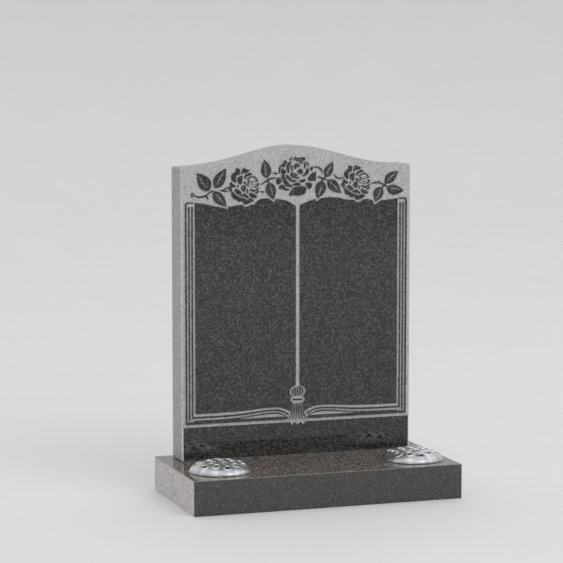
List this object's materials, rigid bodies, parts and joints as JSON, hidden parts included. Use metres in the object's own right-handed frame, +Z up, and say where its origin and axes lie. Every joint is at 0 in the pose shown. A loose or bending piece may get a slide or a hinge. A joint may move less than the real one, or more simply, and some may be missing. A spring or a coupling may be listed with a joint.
{
  "type": "upright headstone",
  "caption": "Upright granite lawn headstone with an ogee top, carved with an open book under a band of roses, on a granite base with flower wells under pierced lids.",
  "frame": {"origin": "middle of the base's underside", "axes": "+Z up, carved face towards -Y, +X to the right as seen from the front"},
  "size_m": [0.61, 0.305, 0.766],
  "materials": {
    "base_granite": "polished top and front, matt ends and back",
    "tablet_granite": "polished raised design on a pale blasted field, matt edges and back",
    "lid_aluminium": "bright polished"
  },
  "bodies": {
    "root": {"base": "base_granite", "tablet": "tablet_granite", "flower_lid_left": "lid_aluminium", "flower_lid_right": "lid_aluminium"}
  },
  "joints": []
}
